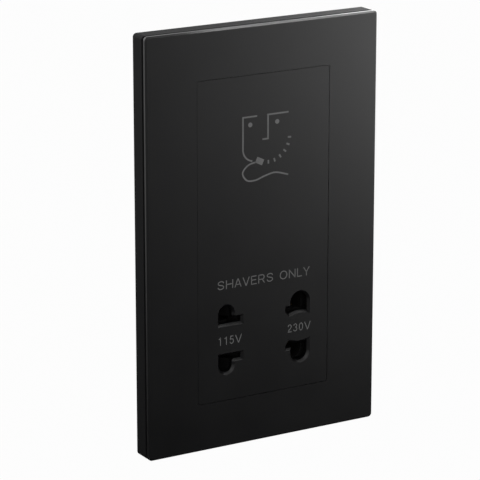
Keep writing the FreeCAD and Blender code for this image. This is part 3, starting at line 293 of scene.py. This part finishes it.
def centring_spring(node):
    """A spring of round wire from the cavity's wall to the shutter.

    For u from 0 to 1 the wire's middle goes round X, and along it by u - ease sin(2 pi u) / 2 pi of the
    length, so that the end turns lie close. The wire's section is a circle square to that path.
    """
    low, high = (np.array(corner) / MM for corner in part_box(node))
    middle = (low + high) / 2
    radius = (high[2] - low[2]) / 2 - SPRING_WIRE
    length = high[0] - low[0] - 2 * SPRING_WIRE
    u = np.linspace(0, 1, SPRING_STEPS * SPRING_TURNS + 1)[:, None]
    turn = 2 * np.pi * SPRING_TURNS * u
    out = np.hstack((0 * u, np.cos(turn), np.sin(turn)))
    onward = 2 * np.pi * SPRING_TURNS * radius * np.hstack((0 * u, -np.sin(turn), np.cos(turn)))
    onward[:, :1] = length * (1 - SPRING_EASE * np.cos(2 * np.pi * u))
    onward /= np.linalg.norm(onward, axis=1, keepdims=True)
    path = middle + radius * out
    path[:, :1] += length * (u - SPRING_EASE * np.sin(2 * np.pi * u) / (2 * np.pi) - 0.5)
    v = np.linspace(0, 2 * np.pi, WIRE_SIDES, endpoint=False)[:, None]
    ring = np.cos(v) * out[:, None] + np.sin(v) * np.cross(onward, out)[:, None]
    corners = path[:, None] + SPRING_WIRE * ring
    index = np.arange(corners.size // 3).reshape(corners.shape[:2])
    beside = np.roll(index, -1, axis=1)
    faces = np.stack((index[:-1], beside[:-1], beside[1:], index[1:]), axis=-1).reshape(-1, 4).tolist()
    faces += [index[0, ::-1].tolist(), index[-1].tolist()]
    mesh = bpy.data.meshes.new(node + "_wire")
    mesh.from_pydata(corners.reshape(-1, 3) * MM, [], faces)
    mesh.shade_smooth()
    mesh.materials.append(FINISHES["spring_steel"])
    spring = bpy.data.objects.new(node + "_wire", mesh)
    bpy.context.collection.objects.link(spring)
    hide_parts(node)
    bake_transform(spring)


# Printed marks

def bar(path, width):
    """A flat bar along a path on the face, as corners and faces.

    Each edge is the path moved half a width along the mitre (a + b) / (1 + a.b), where a and b are the
    unit normals of the stretches before and after a point.
    """
    path = np.asarray(path, dtype=float)
    along = np.diff(path, axis=0)
    along /= np.linalg.norm(along, axis=1, keepdims=True)
    normal = np.column_stack((-along[:, 1], along[:, 0]))
    ring = np.allclose(path[0], path[-1])
    before = np.vstack((normal[-1] if ring else normal[0], normal))
    after = np.vstack((normal, normal[0] if ring else normal[-1]))
    mitre = (before + after) / (1 + (before * after).sum(axis=1, keepdims=True)) * width / 2
    foot, top = np.zeros(len(path)), np.full(len(path), PRINT_THICKNESS)
    left, right = path + mitre, path - mitre
    section = [np.column_stack(edge) for edge in ((left, foot), (right, foot), (right, top), (left, top))]
    index = np.arange(4 * len(path)).reshape(-1, 4)
    turned = np.roll(index, -1, axis=1)
    faces = np.stack((index[:-1], index[1:], turned[1:], turned[:-1]), axis=-1).reshape(-1, 4).tolist()
    if not ring:
        faces += [index[0].tolist(), index[-1, ::-1].tolist()]
    return np.stack(section, axis=1).reshape(-1, 3), faces


def printed(name, bars):
    """A print of bars on the centre panel, whose corners are across, up and height on the face."""
    corners, faces, count = [], [], 0
    for points, sides in bars:
        corners.append(points)
        faces += [[i + count for i in side] for side in sides]
        count += len(points)
    across, up, height = np.vstack(corners).T
    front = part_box("socket_insert")[0].y / MM
    mesh = bpy.data.meshes.new(name)
    mesh.from_pydata(np.column_stack((across, front - height, up)) * MM, [], faces)
    mesh.materials.append(INK)
    piece = bpy.data.objects.new(name, mesh)
    bpy.context.collection.objects.link(piece)
    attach(piece, "socket")


def arc(centre, radii, start=0.0, end=360.0, count=25):
    """Points of an ellipse from one angle to another, in degrees counter-clockwise from the right."""
    angle = np.radians(np.linspace(start, end, count))
    return np.asarray(centre) + np.column_stack((np.cos(angle), np.sin(angle))) * radii


def flowing(points, count=8):
    """A smooth line through the points: a Catmull-Rom cubic on each stretch between neighbours."""
    points = np.asarray(points, dtype=float)
    ends = np.vstack((2 * points[0] - points[1], points, 2 * points[-1] - points[-2]))
    before, start, end, after = (ends[i:len(ends) - 3 + i, None] for i in range(4))
    t = np.linspace(0, 1, count, endpoint=False)[None, :, None]
    curve = (2 * start + (end - before) * t + (2 * before - 5 * start + 4 * end - after) * t ** 2
             + (3 * start - before - 3 * end + after) * t ** 3) / 2
    return np.vstack((curve.reshape(-1, 2), points[-1]))


def shaver_sign():
    """The common sign for a shaver outlet: a face in outline, a shaver at the chin and its lead."""
    brow, side, nose, nose_side = 41.95, -8.2, 33.7, 1.57
    jaw, jaw_drop = (-3.6, 30.8), 4.25
    eyes, eye_radius, eye_fill = ((-5.36, 39.2), (5.16, 39.15)), 0.82, 0.98
    shaver, shaver_width = [(-3.0, 26.95), (-0.35, 25.65)], 2.1
    mouth, hair_root, hair_tip, hair_width = np.array((1.6, 34.1)), 7.85, 9.15, 0.6
    jaw_line = arc(jaw, (jaw[0] - side, jaw_drop), start=180, end=258)
    left_side = np.vstack(([(-2.7, brow), (side, brow)], jaw_line))
    right_brow = [(9.65, brow), (nose_side, brow), (nose_side, nose), (-0.6, nose)]
    lead = flowing([(-3.0, 26.15), (-6.2, 25.35), (-8.35, 22.9), (-6.7, 20.2), (-3.4, 19.85), (0.6, 21.0),
                    (4.6, 21.6), (9.6, 20.25)])
    bars = [bar(path, SIGN_STROKE) for path in (left_side, right_brow, lead)]
    # an eye is a ring so broad that it all but fills its middle
    bars += [bar(arc(middle, eye_radius / 2), eye_fill * eye_radius) for middle in eyes]
    bars.append(bar(shaver, shaver_width))
    # six hairs on an arc round the mouth, from under the chin to the right cheek
    for ray in arc((0, 0), 1, start=-89, end=-6, count=6):
        bars.append(bar([mouth + hair_root * ray, mouth + hair_tip * ray], hair_width))
    printed("shaver_sign", bars)


def letter_paths():
    """Width and centre lines of each letter, for a height of 1."""
    half = LETTER_STROKE / 2
    low, top = half, 1 - half
    stem = [(half, 0), (half, 1)]
    s_bend = [(0.79, 0.73), (0.70, 0.88), (0.44, top), (0.18, 0.87), (0.10, 0.72), (0.20, 0.58),
              (0.44, 0.51), (0.69, 0.43), (0.80, 0.28), (0.70, 0.13), (0.44, low), (0.17, 0.13),
              (0.08, 0.29)]
    five = [(0.09, 0.47), (0.18, 0.57), (0.30, 0.60), (0.45, 0.53), (0.51, 0.34), (0.44, 0.14),
            (0.27, low), (0.12, 0.12), (0.06, 0.25)]
    three_top = [(0.07, 0.77), (0.14, 0.89), (0.28, top), (0.43, 0.87), (0.48, 0.73), (0.41, 0.59),
                 (0.24, 0.53)]
    three_foot = [(0.24, 0.53), (0.44, 0.46), (0.52, 0.29), (0.44, 0.13), (0.27, low), (0.12, 0.12),
                  (0.05, 0.25)]
    two = [(0.07, 0.71), (0.12, 0.87), (0.28, top), (0.45, 0.86), (0.50, 0.70), (0.41, 0.50),
           (0.18, 0.26), (0.08, low)]
    bowl_mid = 0.70
    bend = arc((0.52, bowl_mid), (0.23, top - bowl_mid), start=90, end=-90, count=13)
    bowl = np.vstack(([(half, top)], bend, [(half, 2 * bowl_mid - top)]))
    return {
        "S": (0.88, [flowing(s_bend)]),
        "H": (0.91, [stem, [(0.91 - half, 0), (0.91 - half, 1)], [(half, 0.52), (0.91 - half, 0.52)]]),
        "A": (0.83, [[(0.01, 0), (0.385, top), (0.445, top), (0.82, 0)], [(0.15, 0.32), (0.68, 0.32)]]),
        "V": (0.83, [[(0.01, 1), (0.385, low), (0.445, low), (0.82, 1)]]),
        "E": (0.73, [stem, [(half, top), (0.71, top)], [(half, 0.52), (0.66, 0.52)],
                     [(half, low), (0.73, low)]]),
        "R": (0.84, [stem, bowl, [(0.50, 0.46), (0.79, 0)]]),
        "O": (0.98, [arc((0.49, 0.5), (0.49 - half, 0.5 - half))]),
        "N": (0.86, [stem, [(0.86 - half, 0), (0.86 - half, 1)], [(half, 0.96), (0.86 - half, 0.04)]]),
        "L": (0.62, [stem, [(half, low), (0.64, low)]]),
        "Y": (0.78, [[(0.01, 1), (0.39, 0.44), (0.77, 1)], [(0.39, 0.48), (0.39, 0)]]),
        "0": (0.58, [arc((0.29, 0.5), (0.29 - half, 0.5 - half))]),
        "1": (0.58, [[(0.36, 0), (0.36, 1)], [(0.13, 0.75), (0.27, 0.84), (0.35, 0.98)]]),
        "2": (0.58, [flowing(two), [(0.03, low), (0.56, low)]]),
        "3": (0.58, [flowing(three_top), flowing(three_foot)]),
        "5": (0.58, [[(0.50, top), (0.155, top), (0.09, 0.47)], flowing(five)]),
    }


def legend(name, words, left, foot, height):
    """Printed words, written from the left end along the foot line."""
    alphabet = letter_paths()
    bars = []
    for letter in words:
        if letter == " ":
            left += (WORD_GAP - LETTER_GAP) * height
            continue
        width, paths = alphabet[letter]
        bars += [bar(np.asarray(path) * height + (left, foot), LETTER_STROKE * height) for path in paths]
        left += (width + LETTER_GAP) * height
    printed(name, bars)


# Stage

def seen(tree, hidden, shown):
    """One value for rays from the camera, in reflections and through glass, and another for the rest."""
    rays = add(tree, "LightPath").outputs
    highest = {"operation": "MAXIMUM"}
    direct = add(tree, "Math", rays["Is Camera Ray"], rays["Is Glossy Ray"], settings=highest)
    either = add(tree, "Math", direct.outputs["Value"], rays["Is Transmission Ray"], settings=highest)
    chosen = add(tree, "MapRange", Value=either.outputs["Value"], To_Min=hidden, To_Max=shown)
    return chosen.outputs["Result"]


def white_ground():
    """White paper: bright to the camera and in reflections, yet it keeps the part's shadow."""
    material = bpy.data.materials.new("white_paper_sweep")
    material.use_nodes = True
    tree = material.node_tree
    tree.nodes.clear()
    paper = add(tree, "BsdfDiffuse", Color=linear("f2f2f2")).outputs["BSDF"]
    glow = add(tree, "Emission", Color=linear("ffffff"), Strength=1.0).outputs["Emission"]
    both = add(tree, "MixShader", seen(tree, 0.0, PAPER_GLOW), paper, glow)
    add(tree, "OutputMaterial", Surface=both.outputs["Shader"])
    return material


def stand(name, corners, material):
    """A flat stage piece through four corners."""
    mesh = bpy.data.meshes.new(name)
    mesh.from_pydata(corners, [], [(0, 1, 2, 3)])
    mesh.materials.append(material)
    piece = bpy.data.objects.new(name, mesh)
    bpy.context.collection.objects.link(piece)
    return piece


def level(low, high, height):
    """Corners of a level rectangle from one corner in plan to the opposite one."""
    (left, front), (right, back) = low, high
    return [(left, front, height), (right, front, height), (right, back, height), (left, back, height)]


def lay_floor():
    """A wide sheet of white paper, well below the part."""
    reach = FLOOR_REACH
    stand("floor", level((-reach, -reach), (reach, reach), cad_box[0].z - FLOOR_DROP), white_ground())


def stand_cards():
    """Black cards, as a photographer sets them to keep a black panel deep. Only reflections show them."""
    turn = CARD_AIM.to_track_quat("-Z", "Y")
    middle = CARD_AIM.normalized() * CARD_DISTANCE
    half = CARD_SIDE / 2
    upright = [middle + turn @ Vector(corner) for corner in level((-half, -half), (half, half), 0)]
    # Black flock card: no sheen, a faint nap.
    flock = finish(
        "black_flock_card", ("050505", "080808"), patch_mm=4, rough=(0.9, 1.0),
        grain_mm=0.6, relief_mm=0.05, Specular_IOR_Level=0.0)
    for name, corners in (("card", upright), ("table", level(*TABLE, cad_box[0].z - TABLE_DROP))):
        card = stand(name, corners, flock)
        card.visible_camera = card.visible_diffuse = card.visible_transmission = card.visible_shadow = False


def light_world():
    """White behind the part and in reflections, and a dim even light on its surfaces."""
    world = bpy.data.worlds.new("studio")
    world.use_nodes = True
    tree = world.node_tree
    tree.nodes.clear()
    sky = add(tree, "Background", Color=linear("ffffff"), Strength=seen(tree, WORLD_LIGHT, 1.0))
    add(tree, "OutputWorld", Surface=sky.outputs["Background"])
    bpy.context.scene.world = world


def hang_lamps():
    """Flat lamps that the camera doesn't see."""
    for name, (place, aim, (width, height), power, colours) in LAMPS.items():
        light = bpy.data.lights.new(name, "AREA")
        light.shape = "RECTANGLE"
        light.size, light.size_y = width * MM, height * MM
        light.energy = power
        lamp = bpy.data.objects.new(name, light)
        lamp.location = Vector(place) * MM
        lamp.rotation_euler = (Vector(aim) - Vector(place)).to_track_quat("-Z", "Y").to_euler()
        lamp.visible_camera = False
        lamp.visible_diffuse = colours
        bpy.context.collection.objects.link(lamp)


def set_camera():
    """The camera of the main view."""
    camera = bpy.data.cameras.new("camera")
    camera.lens = CAMERA_LENS
    camera.sensor_width = CAMERA_SENSOR
    camera.clip_end = CAMERA_REACH
    eye = bpy.data.objects.new("camera", camera)
    eye.location = CAMERA_PLACE
    eye.rotation_euler = (CAMERA_AIM - CAMERA_PLACE).to_track_quat("-Z", "Y").to_euler()
    bpy.context.collection.objects.link(eye)
    bpy.context.scene.camera = eye


dress(frame["record"])
for coil in ("shutter_spring_left", "shutter_spring_right"):
    centring_spring(coil)
shaver_sign()
for mark, writing in LEGENDS.items():
    legend(mark, *writing)
lay_floor()
stand_cards()
light_world()
hang_lamps()
set_camera()
bpy.context.scene.view_settings.view_transform = "Standard"
